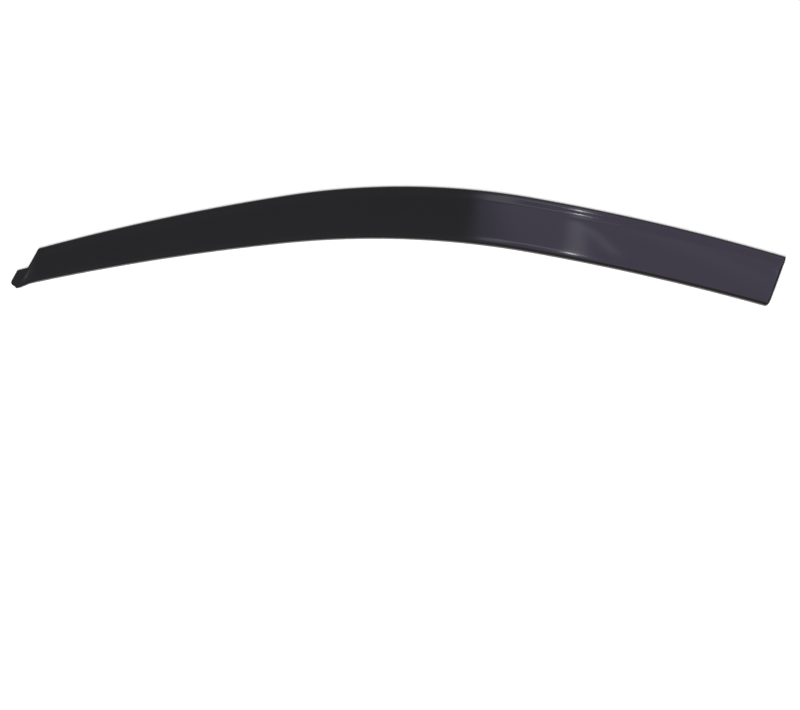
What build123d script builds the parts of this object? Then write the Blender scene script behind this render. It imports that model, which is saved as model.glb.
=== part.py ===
from build123d import *

import os
from math import acos, cos, degrees, radians, sin, tan

# Window rain deflector for a front door: one moulded acrylic shell, lying face up.
# +X runs along the door towards the rear, +Y up the door, +Z out from the door.
# While it is drawn, X and Y are measured from the crown of the arched top edge.

# Sheet
wall = 3.0
edge_roll = 4.0
end_roll = 2.5

# Top edge: a crown arc that runs into a flatter arc at each end
top_crown_radius = 850.0
top_crown_front_angle = 9.4
top_crown_rear_angle = 10.5
top_front_radius = 2580.0
top_rear_radius = 2630.0

# Lower edge: the same kind of line, with its crown ahead of and below the other one
lower_crown_x = -36.0
lower_crown_y = -70.25
lower_crown_radius = 1020.0
lower_crown_front_angle = 6.0
lower_crown_rear_angle = 10.6
lower_front_radius = 2700.0
lower_rear_radius = 2830.0

# Section across the door: flat flange, concave bend, crowned face, lip
flange_height = 5.0
flange_width = 10.5
bend_radius = 20.0
face_slope = 20.0
crown_radius = 250.0
lip_depth = 7.0

# Rear end: an upright cut, raked from the top corner
rear_corner_x = 459.7
rear_corner_y = -90.0
rear_rake = 23.3

# Front end: a wall that slopes down to a foot plate, with a shallower lip under it
front_foot_x = -442.3
front_foot_y = -91.8
front_rake = 26.5
front_slope = 36.0
front_roll = 3.5
front_lip_depth = 4.5

# Foot plate: a strip along the wall's foot that falls from the flange's height and widens into the tab.
# It is measured out from the line at which the wall comes down to the tab's thickness.
foot_thickness = 1.9
foot_edge = 1.2
foot_bite = 1.0
foot_inset = 0.4
foot_strip = -0.8
foot_start = -30.0
foot_top = -16.5
tab_start = 12.5
tab_slant = 8.5
tab_reach = 9.0
tab_end = 38.7
tab_end_slant = 2.5
tab_toe = -0.3
tab_heel = 36.2
tab_inner_corner = 3.0
tab_upper_corner = 1.5
tab_lower_corner = 4.5
tab_toe_corner = 3.0

# Crease: a hollow sunk a little into the wall and the foot plate between them, that fades out at both ends
crease_start = 2.0
crease_end = 33.0
crease_fade = 11.0
crease_radius = 7.0
crease_faded_radius = 1.0
crease_sink = 0.05

# Room to spare around the part for the cutting shapes, and the distance that counts as none
overrun = 60.0
face_reach = 95.0
hair = 0.01


def edge_line(crown, radius, front_angle, rear_angle, front_radius, rear_radius, outward):
    """A crown arc with a flatter tangent arc at each end, moved outward along its normals."""
    centre = crown - Vector(0, radius)
    to_front = Vector(-sin(radians(front_angle)), cos(radians(front_angle)))
    to_rear = Vector(sin(radians(rear_angle)), cos(radians(rear_angle)))
    front_centre = centre + to_front * (radius - front_radius)
    rear_centre = centre + to_rear * (radius - rear_radius)
    front_length = crown.X - front_foot_x + overrun
    rear_length = rear_corner_x - crown.X + overrun
    front_turn = degrees((front_length - radius * radians(front_angle)) / front_radius)
    rear_turn = degrees((rear_length - radius * radians(rear_angle)) / rear_radius)
    front = CenterArc(front_centre, front_radius + outward, 90 + front_angle + front_turn, -front_turn)
    middle = CenterArc(centre, radius + outward, 90 + front_angle, -front_angle - rear_angle)
    rear = CenterArc(rear_centre, rear_radius + outward, 90 - rear_angle, -rear_turn)
    return Wire([front.edge(), middle.edge(), rear.edge()])


def top_line(outward):
    return edge_line(Vector(0, 0), top_crown_radius, top_crown_front_angle, top_crown_rear_angle,
                     top_front_radius, top_rear_radius, outward)


def lower_line(outward):
    return edge_line(Vector(lower_crown_x, lower_crown_y), lower_crown_radius, lower_crown_front_angle,
                     lower_crown_rear_angle, lower_front_radius, lower_rear_radius, outward)


def under_skin(depth):
    """Everything at least this depth below the outer skin, along the whole top edge."""
    slope = radians(face_slope)
    down_slope = Vector(sin(slope), -cos(slope))
    bend_centre = Vector(flange_width, flange_height + bend_radius)
    crown_centre = bend_centre + down_slope * (bend_radius + crown_radius)
    flange_end = bend_centre - Vector(0, bend_radius + depth)
    face_end_angle = degrees(acos((face_reach - crown_centre.X) / (crown_radius - depth)))
    flange = Line((-overrun, flange_end.Y), flange_end)
    bend = CenterArc(bend_centre, bend_radius + depth, -90, face_slope)
    face = CenterArc(crown_centre, crown_radius - depth, 90 + face_slope, face_end_angle - 90 - face_slope)
    rest = Polyline(face @ 1, (face_reach, -overrun), (-overrun, -overrun), flange @ 0)
    path = top_line(0)
    along = path % 0
    across = Plane(path @ 0, x_dir=(along.Y, -along.X, 0), z_dir=-along)
    return sweep(across * make_face([flange, bend, face, rest]), path)


def edges_over(body, line):
    """The edges at the top of the upright wall that stands on a line."""
    found = ShapeList()
    for edge in body.edges():
        middle = edge @ 0.5
        upright = abs(edge.tangent_at(0.5).Z) > 0.5
        off_floor = middle.Z > hair
        if off_floor and not upright and line.distance_to(Vector(middle.X, middle.Y)) < hair:
            found.append(edge)
    return found


# Directions at the two ends: along the end, out from it, and square to the front wall
rear_out = Vector(cos(radians(rear_rake)), -sin(radians(rear_rake)))
front_along = Vector(-sin(radians(front_rake)), -cos(radians(front_rake)))
front_out = Vector(-cos(radians(front_rake)), sin(radians(front_rake)))
front_normal = front_out * sin(radians(front_slope)) + Vector(0, 0, cos(radians(front_slope)))
front_foot = Vector(front_foot_x, front_foot_y)
front_frame = Plane(front_foot, x_dir=front_out, z_dir=(0, 0, 1))


def strip_between(top, lower):
    """The flat strip between a top line and a lower line."""
    return make_face([*top.edges(), Line(top @ 1, lower @ 1), *lower.edges(), Line(lower @ 0, top @ 0)])


def long_body(inset, floor):
    """The body without its hollow or its ends, inset from the outer skin."""
    outline = strip_between(top_line(-inset), lower_line(inset))
    return extrude(Pos(0, 0, floor) * outline, overrun) & under_skin(inset)


def rolled_body(inset):
    """The same body with its two long edges rolled."""
    body = long_body(inset, 0)
    for long_edge in (top_line(-inset), lower_line(inset)):
        body = fillet(edges_over(body, long_edge), edge_roll - inset)
    return body


def cut_ends(body, inset):
    """Cut a long body off at the rear plane and at the sloping front wall."""
    rear_point = Vector(rear_corner_x, rear_corner_y) - rear_out * inset
    front_point = front_foot + Vector(0, 0, foot_thickness) - front_normal * inset
    body = split(body, Plane(rear_point, z_dir=rear_out), Keep.BOTTOM)
    return split(body, Plane(front_point, z_dir=front_normal), Keep.BOTTOM)


def roll_end(body, normal, radius):
    """Round the upper outline of the flat end that faces along a normal."""
    end = body.faces().filter_by(lambda face: (face.normal_at() - normal).length < hair)[0]
    return fillet(end.edges().filter_by(lambda edge: (edge @ 0.5).Z > hair), radius)


def foot_height(place):
    """Height of the foot plate's top at a place along the wall's foot."""
    rise = (flange_height - foot_thickness) / (tab_end - foot_top)
    return foot_thickness + rise * (tab_end - place)


def wall_meeting(place):
    """Where the front wall meets the foot plate's top, measured out from the wall's foot."""
    return (foot_thickness - foot_height(place)) / tan(radians(front_slope))


def foot_plate():
    """The strip and tab at the front, drawn out from the wall and along its foot."""
    inner_corner = (foot_strip, tab_start)
    upper_corner = (tab_reach, tab_start + tab_slant)
    lower_corner = (tab_reach, tab_end + tab_end_slant)
    toe = (tab_toe, tab_end)
    strip_root = (wall_meeting(foot_start) - foot_bite, foot_start)
    heel_root = (wall_meeting(tab_heel) - foot_bite, tab_heel)
    outline = make_face(Polyline(strip_root, (foot_strip, foot_start), inner_corner, upper_corner,
                                 lower_corner, toe, heel_root, close=True))
    rounds = ((inner_corner, tab_inner_corner), (upper_corner, tab_upper_corner),
              (lower_corner, tab_lower_corner), (toe, tab_toe_corner))
    for corner, radius in rounds:
        outline = fillet(outline.vertices().sort_by_distance(corner)[0], radius)
    block = extrude(front_frame * outline, overrun)
    top_start = front_foot + front_along * foot_top + Vector(0, 0, flange_height)
    top_end = front_foot + front_along * tab_end + Vector(0, 0, foot_thickness)
    top = Plane(top_start, x_dir=top_end - top_start, z_dir=front_out.cross(top_end - top_start))
    plate = split(block, top, Keep.BOTTOM)
    upper = plate.faces().sort_by(Axis.Z)[-1]
    outer = upper.edges().filter_by(lambda edge: front_frame.to_local_coords(edge @ 0.5).X > 0)
    return fillet(outer, foot_edge) & rolled_body(foot_inset)


def strip_notch():
    """What is trimmed off the wall's foot beyond the strip and above the tab's slanted edge."""
    edge = foot_strip - foot_inset
    slant_start = tab_start + foot_inset
    slant_end = slant_start + overrun * tab_slant / (tab_reach - foot_strip)
    outline = Polyline((edge, -overrun), (edge, slant_start), (edge + overrun, slant_end),
                       (edge + overrun, -overrun), close=True)
    return Pos(0, 0, -overrun) * extrude(front_frame * make_face(outline), 2 * overrun)


def crease_section(radius, place):
    """The section of the hollow crease at a place along the wall's foot."""
    slope = radians(front_slope)
    side = radius * tan(slope / 2)
    corner = Vector(wall_meeting(place), foot_height(place)) - Vector(tan(slope / 2), 1) * crease_sink
    on_plate = corner + Vector(side, 0)
    on_wall = corner + Vector(-side * cos(slope), side * sin(slope))
    buried = corner - Vector(foot_bite / 2, foot_bite / 2)
    section = make_face([RadiusArc(on_plate, on_wall, radius), Polyline(on_wall, buried, on_plate)])
    return Plane(front_foot + front_along * place, x_dir=front_out, z_dir=-front_along) * section


def crease():
    """A hollow-faced strip that eases the front wall into the foot plate."""
    sections = [crease_section(crease_faded_radius, crease_start),
                crease_section(crease_radius, crease_start + crease_fade),
                crease_section(crease_radius, crease_end - crease_fade),
                crease_section(crease_faded_radius, crease_end)]
    return loft(sections, ruled=True)


# Hollow shell
outer = cut_ends(rolled_body(0), 0)
outer = roll_end(outer, rear_out, end_roll)
outer = roll_end(outer, front_normal, front_roll) - strip_notch()
shell = outer - cut_ends(long_body(wall, -wall), wall)

# Lip: what hangs lower than its depth below the skin and below the front wall is cut away
front_point = front_foot + Vector(0, 0, foot_thickness)
under_wall = Plane(front_point - front_normal * front_lip_depth, z_dir=front_normal)
shell = shell - split(under_skin(lip_depth), under_wall, Keep.BOTTOM)

# Foot plate and the hollow crease where it meets the wall
shell = shell + foot_plate() + (crease() - strip_notch())

# Origin under the middle of the part, on the plane that its rim stands on
box = shell.bounding_box()
shell = Pos(-box.center().X, -box.center().Y, -box.min.Z) * shell

os.makedirs("parts", exist_ok=True)
export_step(shell, "parts/deflector_shell.step")
print("deflector_shell", len(shell.solids()), "solid", round(shell.volume), "mm3")
print("box", box.size, "about", box.center())
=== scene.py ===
# %% [markdown]
# # A window rain deflector in dark smoke acrylic
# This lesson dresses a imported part: a long, thin moulding that shields the top of a car's side window.
# The part comes in as a fixed frame, in metres, and nothing in that frame is moved. A finer surface is
# laid over it, given its finish, and lit so that the gloss of the acrylic can be seen.

# %% Load the frame
import math

import bmesh
import bpy
import numpy as np
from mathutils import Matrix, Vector


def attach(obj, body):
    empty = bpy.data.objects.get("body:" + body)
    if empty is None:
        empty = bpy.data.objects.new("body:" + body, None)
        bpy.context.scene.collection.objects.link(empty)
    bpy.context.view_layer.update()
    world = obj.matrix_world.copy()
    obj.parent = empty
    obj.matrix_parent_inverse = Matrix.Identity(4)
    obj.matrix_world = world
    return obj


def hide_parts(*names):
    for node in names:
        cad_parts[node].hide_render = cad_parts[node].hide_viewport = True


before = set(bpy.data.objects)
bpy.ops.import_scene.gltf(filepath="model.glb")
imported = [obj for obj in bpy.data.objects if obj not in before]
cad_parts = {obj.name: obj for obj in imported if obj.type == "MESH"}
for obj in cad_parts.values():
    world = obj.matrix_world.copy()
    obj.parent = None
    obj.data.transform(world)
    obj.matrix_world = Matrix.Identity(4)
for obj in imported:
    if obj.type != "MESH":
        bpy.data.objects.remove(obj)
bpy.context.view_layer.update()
scene = bpy.context.scene

# %% [markdown]
# ## The shape in numbers
# The real part is one sheet of acrylic, pressed to shape while hot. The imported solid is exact, but its
# triangles are few, and a polished dark surface shows every flat one. A bevel or a subdivision would round
# off corners that should stay, so the same shape is worked out again here from its own sizes, as a fine net
# of points. Sizes are in millimetres. In plan, X runs to the rear of the car and Y up the door, both from
# the crown of the top edge.

# %% Sizes of the sheet, in millimetres
MM = 0.001
SHEET = 3.0
FLANGE_HEIGHT = 5.0
FLANGE_WIDTH = 10.5
BEND_RADIUS = 20.0
FACE_SLOPE = math.radians(20.0)
CROWN_RADIUS = 250.0
print("sheet thickness:", SHEET, "mm")

# %% [markdown]
# ## The two long edges
# Each long edge of the moulding is an arc over the crown that runs into a flatter arc at each end, with no
# kink between them. A curve object could follow it too. Plain arcs are chosen because they give two things
# that every later step needs: the distance of any point from the edge, and the point at any length along it.

# %% The long edges
NEWTON_STEPS = 6
LENGTH_DIGITS = 9


class EdgeLine:
    """A crown arc with a flatter tangent arc at each end, in plan. Arcs 0, 1, 2 are front, crown, rear."""

    def __init__(self, crown, crown_radius, front_angle, rear_angle, front_radius, rear_radius):
        """An end arc's centre lies on the crown arc's radius where they meet, so both share a tangent."""
        self.turn = np.radians([-front_angle, rear_angle])
        self.radii = np.array([front_radius, crown_radius, rear_radius])
        middle = np.array(crown) - [0.0, crown_radius]
        toward = np.stack([np.sin(self.turn), np.cos(self.turn)], axis=1)
        ends = middle + toward * (crown_radius - self.radii[[0, 2]])[:, None]
        self.centres = np.stack([ends[0], middle, ends[1]])

    def bearing(self, points, arc):
        """Angle of points about an arc's centre, from straight up, positive to the rear."""
        offset = points - self.centres[arc]
        return np.arctan2(offset[..., 0], offset[..., 1])

    def arc_of(self, points):
        """Which arc a point belongs to: its bearing about the crown arc's centre decides."""
        bearing = self.bearing(points, 1)
        return np.where(bearing < self.turn[0], 0, np.where(bearing > self.turn[1], 2, 1))

    def below(self, points):
        """Distance below the line: the arc's radius less the distance from the arc's centre."""
        arc = self.arc_of(points)
        return self.radii[arc] - np.linalg.norm(points - self.centres[arc], axis=-1)

    def down(self, points):
        """Unit direction straight away from the line, which is the direction to the arc's centre."""
        inward = self.centres[self.arc_of(points)] - points
        return inward / np.linalg.norm(inward, axis=-1, keepdims=True)

    def length_at(self, points):
        """Length from the crown to the point's foot on the line: radius times bearing, summed arc by arc."""
        arc = self.arc_of(points)
        bearing = self.bearing(points, arc)
        crown_bearing = np.clip(bearing, *self.turn)
        return crown_bearing * self.radii[1] + (bearing - crown_bearing) * self.radii[arc]

    def point_at(self, lengths):
        """Point at a length from the crown: what the crown arc leaves over turns about an end's centre."""
        crown_bearing = np.clip(lengths / self.radii[1], *self.turn)
        rest = lengths - crown_bearing * self.radii[1]
        arc = np.sign(np.round(rest, LENGTH_DIGITS)).astype(int) + 1
        bearing = crown_bearing + rest / self.radii[arc]
        outward = np.stack([np.sin(bearing), np.cos(bearing)], axis=-1)
        return self.centres[arc] + outward * self.radii[arc][..., None]

    def reached_from(self, starts, direction):
        """Where straight lines from some starts meet the line: Newton steps on the distance below it."""
        points = starts.copy()
        for step in range(NEWTON_STEPS):
            rate = self.down(points) @ direction
            points -= (self.below(points) / rate)[:, None] * direction
        return points


top_edge = EdgeLine(crown=(0.0, 0.0), crown_radius=850.0, front_angle=9.4, rear_angle=10.5,
                    front_radius=2580.0, rear_radius=2630.0)
lower_edge = EdgeLine(crown=(-36.0, -70.69), crown_radius=1020.0, front_angle=6.0, rear_angle=10.6,
                      front_radius=2700.0, rear_radius=2830.0)
print("width over the crown:", round(-float(lower_edge.below(np.zeros(2))), 1), "mm")

# %% The two ends in plan
REAR_CORNER = np.array([459.7, -90.0])
REAR_RAKE = math.radians(23.3)
FRONT_FOOT = np.array([-442.3, -91.8])
FRONT_RAKE = math.radians(26.5)

rear_out = np.array([math.cos(REAR_RAKE), -math.sin(REAR_RAKE)])
rear_down = np.array([-math.sin(REAR_RAKE), -math.cos(REAR_RAKE)])
front_out = np.array([-math.cos(FRONT_RAKE), math.sin(FRONT_RAKE)])
front_down = np.array([-math.sin(FRONT_RAKE), -math.cos(FRONT_RAKE)])


def front_point(out, along):
    """Plan point from the front end's own two coordinates: out from the wall's foot, and down along it."""
    return FRONT_FOOT + np.multiply.outer(out, front_out) + np.multiply.outer(along, front_down)


print("front foot to rear corner:", round(float(np.linalg.norm(REAR_CORNER - FRONT_FOOT)), 1), "mm")

# %% [markdown]
# ## The section
# Across the door the sheet is a flat flange, which is taped to the door, a concave bend, and a face that
# rises away from the glass with a slight crown. At the front the face runs out into a flat wall that slopes
# down to a thin foot plate. A profile could be carried along a curve, but then the wall and the plate would
# have to be cut in. Heights over the plan are chosen instead: the section depends on one number, the
# distance below the top edge, and wall and plate are heights of the same kind.

# %% Heights of the skin, the front wall and the foot plate
FRONT_SLOPE = math.radians(36.0)
FOOT_THICKNESS = 1.9
FOOT_TOP = -16.5
TAB_END = 38.7
MID_FACE = np.array(60.0)


def skin_height(below_top, depth):
    """Height of a surface a depth under the skin: level flange, then two arcs with a common tangent."""
    bend = BEND_RADIUS + depth
    crown = CROWN_RADIUS - depth
    centre_height = FLANGE_HEIGHT + BEND_RADIUS
    crown_place = FLANGE_WIDTH + math.sin(FACE_SLOPE) * (BEND_RADIUS + CROWN_RADIUS)
    crown_height = centre_height - math.cos(FACE_SLOPE) * (BEND_RADIUS + CROWN_RADIUS)
    bend_end = FLANGE_WIDTH + bend * math.sin(FACE_SLOPE)
    in_bend = np.clip(below_top, FLANGE_WIDTH, bend_end) - FLANGE_WIDTH
    on_bend = centre_height - np.sqrt(bend ** 2 - in_bend ** 2)
    on_face = crown_height + np.sqrt(crown ** 2 - (np.maximum(below_top, bend_end) - crown_place) ** 2)
    return np.where(below_top < bend_end, on_bend, on_face)


def wall_height(out, depth):
    """Height of a plane a depth under the front wall, which stands at the foot's thickness at out 0."""
    return FOOT_THICKNESS - out * math.tan(FRONT_SLOPE) - depth / math.cos(FRONT_SLOPE)


def foot_height(along):
    """Height of the foot plate's top: it falls straight from the flange's height to the tab's end."""
    share = np.clip((TAB_END - along) / (TAB_END - FOOT_TOP), 0.0, 1.0)
    return FOOT_THICKNESS + share * (FLANGE_HEIGHT - FOOT_THICKNESS)


print("face height at", MID_FACE, "mm:", round(float(skin_height(MID_FACE, 0.0)), 2), "mm")

# %% [markdown]
# ## Rounding
# Nothing on a pressed sheet is sharp. Its rim, its lip and its ends are rolled over, and where two surfaces
# meet the plastic bridges the corner. A Bevel modifier would need each of those edges picked out first.
# Small formulas do it with the heights themselves: a quarter ellipse for a rolled edge, with a slight curve
# before it on the rim and a quick turn before it on the lip, and a soft minimum and maximum of two heights
# for a rounded ridge and a filled crease.

# %% Rolled edges
# A roll is how far an edge drops, and its reach is how far in from the edge the drop begins
EDGE_ROLL = 4.0
EDGE_REACH = 8.5
RIM_REACH = 4.9
RIM_RADIUS = 26.0
END_ROLL = 2.5
END_REACH = 4.0
LIP_REACH = 4.95
LIP_ROLL = 3.0
LIP_TURN = 0.25


def roll_steps(reach, count):
    """Distances in from a rolled edge, at even steps of angle round its quarter ellipse."""
    return reach * (1.0 - np.cos(np.linspace(0.0, math.pi / 2, count)))


def roll_drop(share, drop):
    """Drop of a rolled edge: a quarter ellipse, where share runs from 0 at its start to 1 at the edge."""
    return drop * (1.0 - np.sqrt(1.0 - np.clip(share, 0.0, 1.0) ** 2))


def rim_drop(below_top):
    """Drop of the top rim: a slight parabola from EDGE_REACH on, plus a quarter ellipse at the edge."""
    slight = np.clip(EDGE_REACH - below_top, 0.0, EDGE_REACH) ** 2 / (2 * RIM_RADIUS)
    rest = EDGE_ROLL - EDGE_REACH ** 2 / (2 * RIM_RADIUS)
    return slight + roll_drop(1.0 - below_top / RIM_REACH, rest)


def lip_drop(above_low):
    """Drop of the lower lip: a straight fall that turns it off the face at once, plus a quarter ellipse."""
    share = np.clip(1.0 - above_low / LIP_REACH, 0.0, 1.0)
    return LIP_TURN * LIP_ROLL * share + (1.0 - LIP_TURN) * roll_drop(share, LIP_ROLL)


print("rim drops", rim_drop(np.zeros(1))[0], "mm and lip", lip_drop(np.zeros(1))[0], "mm")


# %% Soft corners
def lower_of(a, b, blend):
    """The lower of two heights, less a square-law share where they differ by under blend: a round ridge."""
    near = np.maximum(blend - np.abs(a - b), 0.0) / blend
    return np.minimum(a, b) - near ** 2 * blend / 4


def higher_of(a, b, blend):
    """The higher of two heights, with the crease between them filled in the same way."""
    return -lower_of(-a, -b, blend)


print("two equal heights with a blend of 1 mm:", lower_of(0.0, 0.0, 1.0), higher_of(0.0, 0.0, 1.0))

# %% [markdown]
# ## A net of points in plan
# The outer skin could be a plain grid that is cut to the outline, but its edges would then be stepped.
# Here it is one net that fits the outline: rows follow the long edges and columns cross them. The rows crowd
# together where the sheet is rolled or bent, because a curve needs points and a flat does not. Columns stay
# parallel to the front wall and to the rear end near those, and are spread evenly between.

# %% Columns at the two ends
FOOT_STRIP = -0.8
FOOT_EDGE = 1.2
FOOT_EDGE_POINTS = 6
FOOT_POINTS = 4
FRONT_ZONE = 24.0
WALL_POINTS = 56
REAR_ZONE = 7.0
END_ROLL_POINTS = 11

# The hollow starts at the inner foot, where the underside of the front wall comes down to the floor
inner_foot = (FOOT_THICKNESS - SHEET / math.cos(FRONT_SLOPE)) / math.tan(FRONT_SLOPE)
strip_outs = FOOT_STRIP - roll_steps(FOOT_EDGE, FOOT_EDGE_POINTS)
foot_outs = np.linspace(strip_outs[-1], inner_foot, FOOT_POINTS)[1:]
wall_outs = np.linspace(inner_foot, -FRONT_ZONE, WALL_POINTS)[1:]
front_outs = np.concatenate([strip_outs, foot_outs, wall_outs])
front_starts = front_point(front_outs, np.zeros_like(front_outs))
front_top = top_edge.reached_from(front_starts, front_down)
front_low = lower_edge.reached_from(front_starts, front_down)

rear_gaps = np.sort(np.concatenate([[REAR_ZONE, SHEET], roll_steps(END_REACH, END_ROLL_POINTS)]))[::-1]
rear_starts = REAR_CORNER - rear_gaps[:, None] * rear_out
rear_top = top_edge.reached_from(rear_starts, rear_down)
rear_low = lower_edge.reached_from(rear_starts, rear_down)
print("columns at the front and the rear:", len(front_outs), len(rear_gaps))

# %% Columns between them
MIDDLE_COLUMNS = 300


def spread(line, first, last, count):
    """Points at even lengths along an edge line, between two points on it and without them."""
    ends = line.length_at(np.stack([first, last]))
    return line.point_at(np.linspace(*ends, count + 2)[1:-1])


middle_top = spread(top_edge, front_top[-1], rear_top[0], MIDDLE_COLUMNS)
middle_low = spread(lower_edge, front_low[-1], rear_low[0], MIDDLE_COLUMNS)
top_points = np.concatenate([front_top, middle_top, rear_top])
low_points = np.concatenate([front_low, middle_low, rear_low])
column_run = low_points - top_points
column_length = np.linalg.norm(column_run, axis=1)
column_way = column_run / column_length[:, None]
print("columns:", len(top_points), "of up to", round(float(column_length.max()), 1), "mm")

# %% Rows along the rim, the bend and the lip
LONG_ROLL_POINTS = 18
FLANGE_POINTS = 5
BEND_POINTS = 14

bend_end = FLANGE_WIDTH + BEND_RADIUS * math.sin(FACE_SLOPE)
rim_rows = roll_steps(EDGE_REACH, LONG_ROLL_POINTS)
flange_rows = np.linspace(EDGE_REACH, FLANGE_WIDTH, FLANGE_POINTS)[1:]
bend_rows = np.linspace(FLANGE_WIDTH, bend_end, BEND_POINTS)[1:]
lip_rows = roll_steps(LIP_REACH, LONG_ROLL_POINTS)
top_gaps = np.sort(np.concatenate([rim_rows, [SHEET], flange_rows, bend_rows]))
low_gaps = np.sort(np.concatenate([[EDGE_REACH, SHEET], lip_rows]))[::-1]

# A column that crosses an edge at a slant closes in on it more slowly than it runs
top_closing = np.sum(column_way * top_edge.down(top_points), axis=1)
low_closing = np.sum(column_way * lower_edge.down(low_points), axis=1)
top_runs = top_gaps[:, None] / top_closing
low_runs = column_length - low_gaps[:, None] / low_closing
print("rows at the top and at the lip:", len(top_gaps), len(low_gaps))

# %% Rows over the face, and the net
TAB_START = 12.5
TAB_ROW_STEPS = 4
TAB_EDGE_POINTS = 5
FACE_POINTS = 20

# One row meets the corner where the tab leaves the strip, and rows crowd below it for the tab's rounded edge
middle_start = top_runs[-1]
middle_end = low_runs[0]
middle_run = middle_end[0] - middle_start[0]
tab_start_run = TAB_START - (top_points[0] - FRONT_FOOT) @ front_down
tab_share = (tab_start_run - middle_start[0]) / middle_run
tab_edge_shares = tab_share + roll_steps(FOOT_EDGE, TAB_EDGE_POINTS)[1:] / middle_run
face_shares = np.linspace(tab_edge_shares[-1], 1.0, FACE_POINTS)[1:-1]
upper_shares = np.linspace(0.0, tab_share, TAB_ROW_STEPS + 1)[1:]
middle_shares = np.concatenate([upper_shares, tab_edge_shares, face_shares])
middle_runs = middle_start + middle_shares[:, None] * (middle_end - middle_start)
tab_row = len(top_gaps) + TAB_ROW_STEPS - 1

runs = np.concatenate([top_runs, middle_runs, low_runs])
net = top_points + runs[..., None] * column_way
print("rows:", len(runs), "and the tab starts at row", tab_row)

# %% [markdown]
# ## The tab
# The foot plate widens into a small tab with rounded corners, which tucks in beside the mirror. A separate
# flat mesh could be joined on, but the seam would show in the gloss. So the tab carries on the net's lower
# rows, and its columns are laid between four sides: the strip's edge, two edges of the tab, and its far end.
# A patch that is blended from its four sides like this is called a Coons patch.

# %% Outline of the tab
TAB_REACH = 9.0
TAB_SLANT = 8.5
TAB_UPPER_CORNER = 1.5
TAB_LOWER_CORNER = 4.5
TAB_END_SLANT = 2.5
TAB_TOE = -0.3
ARC_POINTS = 13
HALF_ARC = ARC_POINTS // 2


def round_corner(before, corner, after, radius, count):
    """Arc tangent to both sides of a corner: it turns about a centre on the line that halves the angle."""
    to_before = (before - corner) / np.linalg.norm(before - corner)
    to_after = (after - corner) / np.linalg.norm(after - corner)
    half_angle = np.arccos(to_before @ to_after) / 2
    middle = to_before + to_after
    centre = corner + middle / np.linalg.norm(middle) * radius / math.sin(half_angle)
    start = corner + to_before * radius / math.tan(half_angle) - centre
    end = corner + to_after * radius / math.tan(half_angle) - centre
    turn = math.pi - 2 * half_angle
    share = np.linspace(0.0, 1.0, count)[:, None]
    return centre + (np.sin((1 - share) * turn) * start + np.sin(share * turn) * end) / math.sin(turn)


strip_side = net[tab_row:, 0]
upper_corner = front_point(TAB_REACH, TAB_START + TAB_SLANT)
lower_corner = front_point(TAB_REACH, TAB_END + TAB_END_SLANT)
toe = front_point(TAB_TOE, TAB_END)
upper_arc = round_corner(strip_side[0], upper_corner, lower_corner, TAB_UPPER_CORNER, ARC_POINTS)
lower_arc = round_corner(upper_corner, lower_corner, toe, TAB_LOWER_CORNER, ARC_POINTS)
upper_side = np.concatenate([strip_side[:1], upper_arc[:HALF_ARC + 1]])
end_side = np.concatenate([upper_arc[HALF_ARC:], lower_arc[:HALF_ARC + 1]])
lower_side = np.concatenate([strip_side[-1:], lower_arc[HALF_ARC:][::-1]])
foot_outline = np.concatenate([top_points[:1], upper_side, end_side, lower_side[::-1]])
print("points round the foot plate:", len(foot_outline))

# %% Columns of the tab
TAB_END_POINTS = 6
TAB_POINTS = 12


def points_along(path, shares):
    """Points at given shares of a broken line's length, each on the straight piece its share falls in."""
    steps = np.linalg.norm(np.diff(path, axis=0), axis=1)
    place = np.concatenate([[0.0], np.cumsum(steps)]) / steps.sum()
    return np.stack([np.interp(shares, place, path[:, axis]) for axis in (0, 1)], axis=-1)


def coons_patch(upper, lower, near, far, across, down):
    """Points between four sides: both pairs of sides blended and added, less the corners' own blend."""
    a = across[None, :, None]
    d = down[:, None, None]
    upper_corners = (1 - a) * (1 - d) * upper[0] + a * (1 - d) * far[0]
    lower_corners = (1 - a) * d * lower[0] + a * d * far[-1]
    rows = (1 - d) * points_along(upper, across)[None] + d * points_along(lower, across)[None]
    columns = (1 - a) * near[:, None] + a * points_along(far, down)[:, None]
    return rows + columns - (upper_corners + lower_corners)


edge_shares = 1.0 - roll_steps(FOOT_EDGE, TAB_END_POINTS) / (TAB_REACH - FOOT_STRIP)
across = np.concatenate([edge_shares, np.linspace(edge_shares[-1], 0.0, TAB_POINTS)[1:-1]])
down = (runs[tab_row:, 0] - runs[tab_row, 0]) / (runs[-1, 0] - runs[tab_row, 0])
tab_net = coons_patch(upper_side, lower_side, strip_side, end_side, across, down)

# Rows above the tab have no points in its columns
no_points = np.full((tab_row, len(across), 2), np.nan)
net = np.concatenate([np.concatenate([no_points, tab_net]), net], axis=1)
print("columns with the tab:", net.shape[1])

# %% [markdown]
# ## Round rear corners
# At the two rear corners a rolled long edge meets the rolled end. If both rolls simply dropped away, the
# corner would stay square from above, and a bevel on it would cut across both rolls. So the net is drawn in
# there: each point keeps its larger share of the two rolls as its distance from the corner's middle, which
# turns squares of points into round ones.

# %% Draw the rear corners in
CORNER_SHARE = 0.75
TINY = 0.001

below_top = top_edge.below(net)
above_low = -lower_edge.below(net)
before_rear = (REAR_CORNER - net) @ rear_out
long_share = np.clip(1.0 - np.minimum(below_top, above_low) / EDGE_REACH, 0.0, 1.0)
rear_share = np.clip(1.0 - before_rear / END_REACH, 0.0, 1.0)
roll_share = np.maximum(long_share, rear_share)
drawn_in = CORNER_SHARE * (1.0 - roll_share / np.maximum(np.hypot(long_share, rear_share), TINY))
drawn_in = np.where(long_share * rear_share > 0, drawn_in, 0.0)

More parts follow.
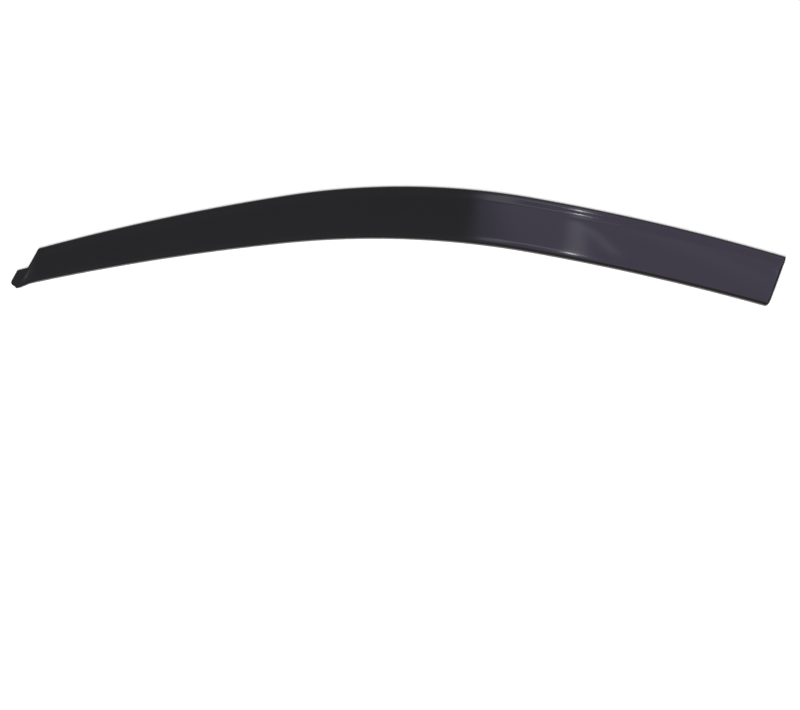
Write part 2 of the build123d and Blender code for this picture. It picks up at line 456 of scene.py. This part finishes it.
at_top = below_top < above_low
edge_down = np.where(at_top[..., None], top_edge.down(net), lower_edge.down(net))
edge_way = np.stack([-edge_down[..., 1], edge_down[..., 0]], axis=-1)
inward = np.where(at_top, 1.0, -1.0)
from_edge = drawn_in * long_share * EDGE_REACH * inward / (edge_down @ rear_down)
from_rear = drawn_in * rear_share * END_REACH / (edge_way @ rear_out)
net = net + from_edge[..., None] * rear_down - from_rear[..., None] * edge_way
print("corners drawn in by up to", round(float(np.nanmax(np.abs(from_edge))), 2), "mm")

# %% [markdown]
# ## Three heights
# A sheet could get its thickness from a Solidify modifier, but here the rim, the lip and the foot plate end
# in flat bottoms of their own. So three heights are worked out over the net: the outer skin, those flat
# bottoms, and the roof of the hollow. The outer skin is the lower of the face and the front wall, less the
# rolls, and the higher of that and the foot plate.

# %% The body's outer skin
RIDGE_SHARE = 0.48

below_top = top_edge.below(net)
above_low = -lower_edge.below(net)
out = (net - FRONT_FOOT) @ front_out
along = (net - FRONT_FOOT) @ front_down
long_drop = np.maximum(rim_drop(below_top), lip_drop(above_low))
end_drop = roll_drop(rear_share, END_ROLL)
skin = skin_height(below_top, 0.0)
ridge_blend = RIDGE_SHARE * (skin - FOOT_THICKNESS)
body = lower_of(skin, wall_height(out, 0.0), ridge_blend) - np.maximum(long_drop, end_drop)
print("highest point:", round(float(np.nanmax(body)), 2), "mm")


# %% The foot plate
def distance_to_path(points, path):
    """Distance of points to a broken line: the least distance to any of its straight pieces."""
    starts = path[:-1]
    pieces = path[1:] - starts
    offset = points[..., None, :] - starts
    squares = np.maximum(np.sum(pieces ** 2, -1), TINY ** 2)
    share = np.clip(np.sum(offset * pieces, -1) / squares, 0.0, 1.0)
    return np.min(np.linalg.norm(offset - share[..., None] * pieces, axis=-1), axis=-1)


at_front = np.nan_to_num(out, nan=-FRONT_ZONE) > -FRONT_ZONE
foot_gap = np.full(out.shape, FRONT_ZONE)
foot_gap[at_front] = distance_to_path(net[at_front], foot_outline)
plate_top = foot_height(along)
plate_roll = roll_drop(1.0 - foot_gap / FOOT_EDGE, FOOT_EDGE)

# Where the plate lies lower than the flange, it takes a smaller share of the rim's roll, so both end level
flange_share = (plate_top - FLANGE_HEIGHT + EDGE_ROLL) / EDGE_ROLL
top_roll = roll_drop(1.0 - below_top / EDGE_REACH, EDGE_ROLL) * flange_share
print("points near the foot plate:", int(at_front.sum()))

# %% The crease above the foot plate
CREASE_PLACES = (0.0, 13.0, 26.0, 36.0)
CREASE_RADII = (1.0, 7.0, 10.0, 8.0)
FOOT_BITE = 0.2

# The plate sinks out of the way behind the crease, where the wall has risen from it
wall_line = (FOOT_THICKNESS - plate_top) / math.tan(FRONT_SLOPE)
crease_side = np.interp(along, CREASE_PLACES, CREASE_RADII) * math.tan(FRONT_SLOPE / 2)
sink = np.minimum(out - wall_line + crease_side + FOOT_BITE, 0.0)
plate = plate_top - np.maximum(plate_roll, top_roll) + sink
outer = np.where(at_front, higher_of(body, plate, crease_side * math.tan(FRONT_SLOPE)), body)
outer = np.maximum(outer, FOOT_THICKNESS - FOOT_EDGE)
print("lowest point of the outer skin:", round(float(np.nanmin(outer)), 2), "mm")

# %% The underside
LIP_DEPTH = 7.0
FRONT_LIP_DEPTH = 4.5

under = np.minimum(skin_height(below_top, LIP_DEPTH), wall_height(out, FRONT_LIP_DEPTH))
under = np.maximum(under, 0.0)
inner = np.minimum(skin_height(below_top, SHEET), wall_height(out, SHEET))
print("lip hangs at", round(float(np.nanmax(under)), 2), "mm over the floor")

# %% [markdown]
# ## One closed skin
# The real sheet has an outside, an inside and an edge all round. Three open meshes would look alike from
# above, but light would leak at their edges. So the three sheets of points become one closed skin: the
# hollow's roof covers the middle of the net, the flat bottom covers the rest, and upright strips join the
# sheets wherever one of them ends.

# %% Number the points
present = ~np.isnan(net[..., 0])
count = int(present.sum())
number = np.full(present.shape, -1)
number[present] = np.arange(count)

# The hollow begins one sheet thickness in from the outline, and at the front at the inner foot
first_row = int(np.flatnonzero(top_gaps == SHEET)[0])
last_row = len(runs) - len(low_gaps) + int(np.flatnonzero(low_gaps == SHEET)[0])
first_column = len(across) + len(strip_outs) + len(foot_outs) - 1
last_column = net.shape[1] - len(rear_gaps) + int(np.flatnonzero(rear_gaps == SHEET)[0])
hollow = np.zeros_like(present)
hollow[first_row:last_row + 1, first_column:last_column + 1] = True
roof_count = int(hollow.sum())
roof_number = np.full(present.shape, -1)
roof_number[hollow] = 2 * count + np.arange(roof_count)
print("points:", 2 * count + roof_count)


# %% Faces between the points
def cells(numbers):
    """Four point numbers for each cell of a net that has all its corners, turning left seen from above."""
    around = np.stack([numbers[:-1, :-1], numbers[1:, :-1], numbers[1:, 1:], numbers[:-1, 1:]], axis=-1)
    return around[(around >= 0).all(axis=-1)]


def open_sides(faces):
    """Sides that only one face has, each in that face's own direction."""
    sides = np.concatenate([faces[:, [k, (k + 1) % 4]] for k in range(4)])
    ends = np.sort(sides, axis=1)
    key = ends[:, 0] * (ends.max() + 1) + ends[:, 1]
    first, times = np.unique(key, return_index=True, return_counts=True)[1:]
    return sides[first[times == 1]]


def upright_strips(upper, lower):
    """A face for each side of an upper sheet: its two ends, and the two points they have on a lower one."""
    return np.stack([upper[:, 1], upper[:, 0], lower[:, 0], lower[:, 1]], axis=1)


skin_cells = cells(number)
roof_cells = cells(roof_number)
below_roof = cells(np.where(hollow, number, -1))
rim_cells = skin_cells[~np.isin(skin_cells[:, 0], below_roof[:, 0])]
roof_to_skin = np.zeros(2 * count + roof_count, dtype=int)
roof_to_skin[roof_number[hollow]] = number[hollow]
outside = open_sides(skin_cells)
inside = open_sides(roof_cells)
outside_strips = upright_strips(outside, outside + count)
inside_strips = upright_strips(roof_to_skin[inside] + count, inside)
bottoms = [rim_cells[:, ::-1] + count, roof_cells[:, ::-1]]
faces = np.concatenate([skin_cells, *bottoms, outside_strips, inside_strips])
print("faces:", len(faces))

# %% Put the skin into a mesh, with the middle of the solid's box at the origin
DRAWN_MIDDLE = np.array([-3.853, -77.19])

points = np.concatenate([np.column_stack([net[present], outer[present]]),
                         np.column_stack([net[present], under[present]]),
                         np.column_stack([net[hollow], inner[hollow]])])
points[:, :2] -= DRAWN_MIDDLE
lip_gap = np.concatenate([above_low[present], above_low[present], above_low[hollow]])

mesh = bpy.data.meshes.new("deflector_sheet")
mesh.from_pydata((points * MM).tolist(), [], faces.tolist())
mesh.attributes.new("lip_gap", "FLOAT", "POINT").data.foreach_set("value", lip_gap * MM)
sheet = bpy.data.objects.new("deflector_sheet", mesh)
scene.collection.objects.link(sheet)
print("mesh points before its seams are closed:", len(mesh.vertices))

# %% Close its seams and shade it smooth
SEAM = 1e-7
SHARP_ANGLE = math.radians(35.0)

work = bmesh.new()
work.from_mesh(mesh)
bmesh.ops.remove_doubles(work, verts=work.verts, dist=SEAM)
open_edges = [edge for edge in work.edges if len(edge.link_faces) != 2]
print("open edges:", len(open_edges), "volume in mm3:", round(work.calc_volume() / MM ** 3))
work.to_mesh(mesh)
work.free()
mesh.shade_smooth()
mesh.set_sharp_from_angle(angle=SHARP_ANGLE)
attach(sheet, "root")
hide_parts("deflector_shell")

# %% [markdown]
# ## Dark smoke acrylic
# The sheet is tinted through, so dark that it looks black where it lies on white, and nearly all of what
# one sees is the gloss. Its colour drifts a little over the length, as poured sheet does. Along the lower
# lip the light gets through the rolled edge and shows warm. A see-through shader could do that too, but at
# this depth of tint it would only cost time, so the tint is a plain colour under a glossy surface, and the
# warm light at the lip is a painted glow in that colour. The lip is found by an attribute of the mesh: each
# point's distance from the lower edge.

# %% Helpers for shader nodes
def feed(owner, socket, value):
    """Give a socket its value: another node's output is linked to it, and anything else is set on it."""
    if isinstance(value, bpy.types.NodeSocket):
        owner.node_tree.links.new(value, socket)
    else:
        socket.default_value = value


def add_node(owner, kind, **inputs):
    """A new shader node of a material, world or lamp, with some of its inputs fed by name."""
    node = owner.node_tree.nodes.new(kind)
    for name, value in inputs.items():
        feed(owner, node.inputs[name.replace("_", " ")], value)
    return node


def mix_colors(owner, factor, *colors):
    """A colour that runs from a first one to a second one as the factor goes from 0 to 1."""
    node = add_node(owner, "ShaderNodeMix", Factor=factor)
    node.data_type = "RGBA"
    sockets = [socket for socket in node.inputs if socket.type == "RGBA"]
    for socket, color in zip(sockets, colors):
        feed(owner, socket, color)
    return [socket for socket in node.outputs if socket.type == "RGBA"][0]


def combine(owner, operation, *values):
    """One number from two, by the named operation."""
    node = add_node(owner, "ShaderNodeMath")
    node.operation = operation
    for socket, value in zip(node.inputs, values):
        feed(owner, socket, value)
    return node.outputs[0]


acrylic = bpy.data.materials.new("smoke_acrylic_gloss")
acrylic.use_nodes = True
surface = acrylic.node_tree.nodes["Principled BSDF"]
on_sheet = add_node(acrylic, "ShaderNodeTexCoord").outputs["Object"]
print("new material:", acrylic.name)

# %% Tint, with a painted glow along the lip
TINT = (0.0113, 0.0101, 0.0129, 1.0)
TINT_LIGHTER = (0.0137, 0.0125, 0.0149, 1.0)
DRIFT_SCALE = 9.0
# Painted glow: the warm light that gets through the rolled lower lip, painted into the colour near the lower
# edge
LIP_PAINTED_GLOW = (0.0075, 0.0025, 0.0020, 1.0)
LIP_GLOW_REACH = 0.0022

drift = add_node(acrylic, "ShaderNodeTexNoise", Vector=on_sheet, Scale=DRIFT_SCALE, Detail=3.0)
tint = mix_colors(acrylic, drift.outputs["Fac"], TINT, TINT_LIGHTER)
lip_gap_node = add_node(acrylic, "ShaderNodeAttribute")
lip_gap_node.attribute_name = "lip_gap"
# The painted glow is mixed in fully at the lower edge and fades out over the 2.2 mm above it
painted_glow_share = add_node(acrylic, "ShaderNodeMapRange", Value=lip_gap_node.outputs["Fac"],
                  From_Min=0.0, From_Max=LIP_GLOW_REACH, To_Min=1.0, To_Max=0.0)
tint_with_painted_glow = mix_colors(acrylic, painted_glow_share.outputs["Result"], tint, LIP_PAINTED_GLOW)
feed(acrylic, surface.inputs["Base Color"], tint_with_painted_glow)
print("acrylic nodes for the tint:", len(acrylic.node_tree.nodes))

# %% [markdown]
# ## Gloss, rubbing marks and waviness
# Polished acrylic reflects like a dim mirror. Fine rubbing marks from the film that protects it make the
# gloss uneven, and a slow waviness left by the heat bends what it reflects. Painted images could carry both,
# but noise that is read at the object's own coordinates needs no file and stays put on the sheet. The marks
# are stretched along the door, the way that the film is pulled off.

# %% Gloss
ACRYLIC_IOR = 1.49
GLOSS_LEAST = 0.058
GLOSS_MOST = 0.066
RUB_STRETCH = (14.0, 260.0, 260.0)
RUB_RANGE = (0.3, 0.7)
WAVE_SCALE = 34.0
WAVE_STRENGTH = 0.03
WAVE_DEPTH = 0.0006

feed(acrylic, surface.inputs["IOR"], ACRYLIC_IOR)
along_door = add_node(acrylic, "ShaderNodeMapping", Vector=on_sheet, Scale=RUB_STRETCH)
rubbing = add_node(acrylic, "ShaderNodeTexNoise", Vector=along_door.outputs["Vector"], Scale=1.0, Detail=5.0)
gloss = add_node(acrylic, "ShaderNodeMapRange", Value=rubbing.outputs["Fac"],
                 From_Min=RUB_RANGE[0], From_Max=RUB_RANGE[1], To_Min=GLOSS_LEAST, To_Max=GLOSS_MOST)
feed(acrylic, surface.inputs["Roughness"], gloss.outputs["Result"])

waves = add_node(acrylic, "ShaderNodeTexNoise", Vector=on_sheet, Scale=WAVE_SCALE, Detail=1.0)
wave_bump = add_node(acrylic, "ShaderNodeBump", Height=waves.outputs["Fac"],
                     Strength=WAVE_STRENGTH, Distance=WAVE_DEPTH)
feed(acrylic, surface.inputs["Normal"], wave_bump.outputs["Normal"])
mesh.materials.append(acrylic)
print("acrylic nodes:", len(acrylic.node_tree.nodes))

# %% [markdown]
# ## The camera
# The view looks down on the part, 15 degrees off the vertical, from about two metres away, and the part lies
# in the upper half of the picture. Shifting the lens could place it there too, but aiming at a point below
# the part keeps the perspective plain.

# %% Camera
CAMERA_ELEVATION = math.radians(75.0)
CAMERA_DISTANCE = 2.2
CAMERA_VIEW_ANGLE = math.radians(24.22)
CAMERA_TARGET = Vector((0.0009, -0.13367, 0.0))

toward_camera = Vector((0.0, -math.cos(CAMERA_ELEVATION), math.sin(CAMERA_ELEVATION)))
camera_data = bpy.data.cameras.new("camera")
camera_data.sensor_fit = "HORIZONTAL"
camera_data.angle = CAMERA_VIEW_ANGLE
camera = bpy.data.objects.new("camera", camera_data)
scene.collection.objects.link(camera)
camera.location = CAMERA_TARGET + toward_camera * CAMERA_DISTANCE
camera.rotation_euler = (math.pi / 2 - CAMERA_ELEVATION, 0.0, 0.0)
scene.camera = camera
print("camera at", [round(v, 3) for v in camera.location])

# %% [markdown]
# ## The floor
# The part lies on plain white paper. Brighter lamps could make the paper white, but they would wash out the
# part as well. So the paper's own colour does most of the work, and a little emission that only the view and
# reflections can see lifts it to full white. It still takes the part's shadow.

# %% Floor
FLOOR_HALF = 14.0
FLOOR_DROP = 0.0003

corners = FLOOR_HALF * np.array([(-1, -1, 0), (1, -1, 0), (1, 1, 0), (-1, 1, 0)]) - [0.0, 0.0, FLOOR_DROP]
floor_mesh = bpy.data.meshes.new("floor")
floor_mesh.from_pydata(corners.tolist(), [], [(0, 1, 2, 3)])
floor = bpy.data.objects.new("floor", floor_mesh)
scene.collection.objects.link(floor)
print("floor side:", 2 * FLOOR_HALF, "m")

# %% Paper
PAPER_WHITE = (0.86, 0.86, 0.86, 1.0)
PAPER_GLOW = (1.0, 1.0, 1.0, 1.0)
PAPER_ROUGHNESS = 0.9
PAPER_LIFT = 0.42

paper = bpy.data.materials.new("white_paper")
paper.use_nodes = True
paper_surface = paper.node_tree.nodes["Principled BSDF"]
feed(paper, paper_surface.inputs["Base Color"], PAPER_WHITE)
feed(paper, paper_surface.inputs["Roughness"], PAPER_ROUGHNESS)
feed(paper, paper_surface.inputs["Specular IOR Level"], 0.0)
feed(paper, paper_surface.inputs["Emission Color"], PAPER_GLOW)

ray = add_node(paper, "ShaderNodeLightPath").outputs
seen = combine(paper, "MAXIMUM", ray["Is Camera Ray"], ray["Is Glossy Ray"])
seen_or_through = combine(paper, "MAXIMUM", seen, ray["Is Transmission Ray"])
lift = combine(paper, "MULTIPLY", seen_or_through, PAPER_LIFT)
feed(paper, paper_surface.inputs["Emission Strength"], lift)
floor_mesh.materials.append(paper)
print("paper nodes:", len(paper.node_tree.nodes))

# %% [markdown]
# ## The light
# Gloss is drawn by what hangs around it. The face throws the view back 31 to 55 degrees from the vertical,
# up and behind the part, so that is where its light hangs: a pale panel over the rear half, with nothing
# over the front half but a dim room. A small bulb in front of the panel makes the streaks on the rim, the
# bend and the lip, a wing beside it makes the paler patches before them, and a strip brightens the rear end.
# One large soft light would be simpler, but gloss under it would look flat. The paper has two lamps of its
# own, which are kept out of the gloss.

# %% The room
ZENITH_GREY = 0.27
HORIZON_GREY = 0.33
HORIZON_BAND = (0.1, 0.5)

world = bpy.data.worlds.new("studio")
scene.world = world
world.use_nodes = True
toward_sky = add_node(world, "ShaderNodeTexCoord").outputs["Generated"]
upward = add_node(world, "ShaderNodeSeparateXYZ", Vector=toward_sky).outputs["Z"]
room = add_node(world, "ShaderNodeMapRange", Value=upward, From_Min=HORIZON_BAND[0],
                From_Max=HORIZON_BAND[1], To_Min=HORIZON_GREY, To_Max=ZENITH_GREY)
feed(world, world.node_tree.nodes["Background"].inputs["Color"], room.outputs["Result"])
print("dim room from", HORIZON_GREY, "at the horizon to", ZENITH_GREY, "overhead")

# %% A lamp and its soft edges
LAMP_MIDDLE = 0.5


def hang_lamp(name, place, size, radiance, color, turn=0.0, tilt=0.0, for_gloss=True):
    """A rectangular lamp that faces down: its power is its radiance times pi times its area."""
    data = bpy.data.lights.new(name, "AREA")
    data.shape = "RECTANGLE"
    data.size, data.size_y = size
    data.color = color
    data.energy = radiance * math.pi * size[0] * size[1]
    lamp = bpy.data.objects.new(name, data)
    scene.collection.objects.link(lamp)
    lamp.location = place
    lamp.rotation_euler = (math.radians(tilt), 0.0, math.radians(turn))
    lamp.visible_glossy = for_gloss
    lamp.visible_diffuse = not for_gloss
    return data


def soften(light, edges):
    """Fade a lamp out at its edges: a smooth step over a share of its width, times one over its length."""
    light.use_nodes = True
    spot = add_node(light, "ShaderNodeNewGeometry").outputs["Parametric"]
    sides = add_node(light, "ShaderNodeSeparateXYZ", Vector=spot).outputs
    faded = []
    for axis, edge in zip("XY", edges):
        from_side = combine(light, "PINGPONG", sides[axis], LAMP_MIDDLE)
        step = add_node(light, "ShaderNodeMapRange", Value=from_side, From_Max=edge)
        step.interpolation_type = "SMOOTHSTEP"
        faded.append(step.outputs["Result"])
    feed(light, light.node_tree.nodes["Emission"].inputs["Strength"], combine(light, "MULTIPLY", *faded))


print("a lamp can fade over up to", LAMP_MIDDLE, "of its width and length from each side")

# %% Hang the lamps
PANEL_COLOR = (0.93, 0.82, 1.34)
WHITE = (1.0, 1.0, 1.0)

# Name, place and size in metres, radiance, colour, turn in degrees, and the soft shares of width and length
GLOSS_LAMPS = [
    ("panel", (1.205, 1.30, 1.5), (2.0, 3.4), 0.37, PANEL_COLOR, -6.2, (0.03, 0.03)),
    ("panel_wash", (1.235, 1.30, 1.505), (2.0, 3.4), 0.44, PANEL_COLOR, -6.2, (0.09, 0.03)),
    ("bulb", (0.412, 0.77, 1.49), (0.024, 0.28), 24.0, WHITE, -12.0, (0.5, 0.3)),
    ("bulb_halo", (0.44, 0.88, 1.485), (0.07, 0.55), 1.6, WHITE, -12.0, (0.5, 0.4)),
    ("bulb_glow", (0.573, 1.45, 1.48), (0.085, 2.0), 0.9, WHITE, -12.4, (0.5, 0.15)),
    ("bulb_tail", (0.673, 1.60, 1.47), (0.07, 1.2), 0.55, WHITE, -7.9, (0.5, 0.3)),
    ("wing", (0.225, 0.74, 1.46), (0.12, 0.7), 0.85, WHITE, -8.0, (0.4, 0.15)),
    ("wing_tail", (0.34, 0.92, 1.455), (0.20, 0.20), 1.0, WHITE, 0.0, (0.3, 0.25)),
    ("rear_strip", (1.65, 1.0, 1.45), (0.7, 2.4), 0.45, PANEL_COLOR, 0.0, (0.2, 0.1)),
    ("rear_wash", (1.10, 1.2, 1.475), (0.5, 2.6), 0.12, PANEL_COLOR, 0.0, (0.5, 0.1)),
]
for *lamp_facts, soft_edges in GLOSS_LAMPS:
    soften(hang_lamp(*lamp_facts), soft_edges)

# Soft light for the paper, mostly from the front
hang_lamp("front_light", (-0.2, -1.6, 1.7), (1.2, 1.2), 11.0, WHITE, tilt=43.0, for_gloss=False)
hang_lamp("low_light", (-0.5, -2.0, 0.8), (0.8, 0.5), 6.0, WHITE, tilt=68.0, for_gloss=False)
scene.view_settings.view_transform = "Standard"
print("lamps:", len(bpy.data.lights))
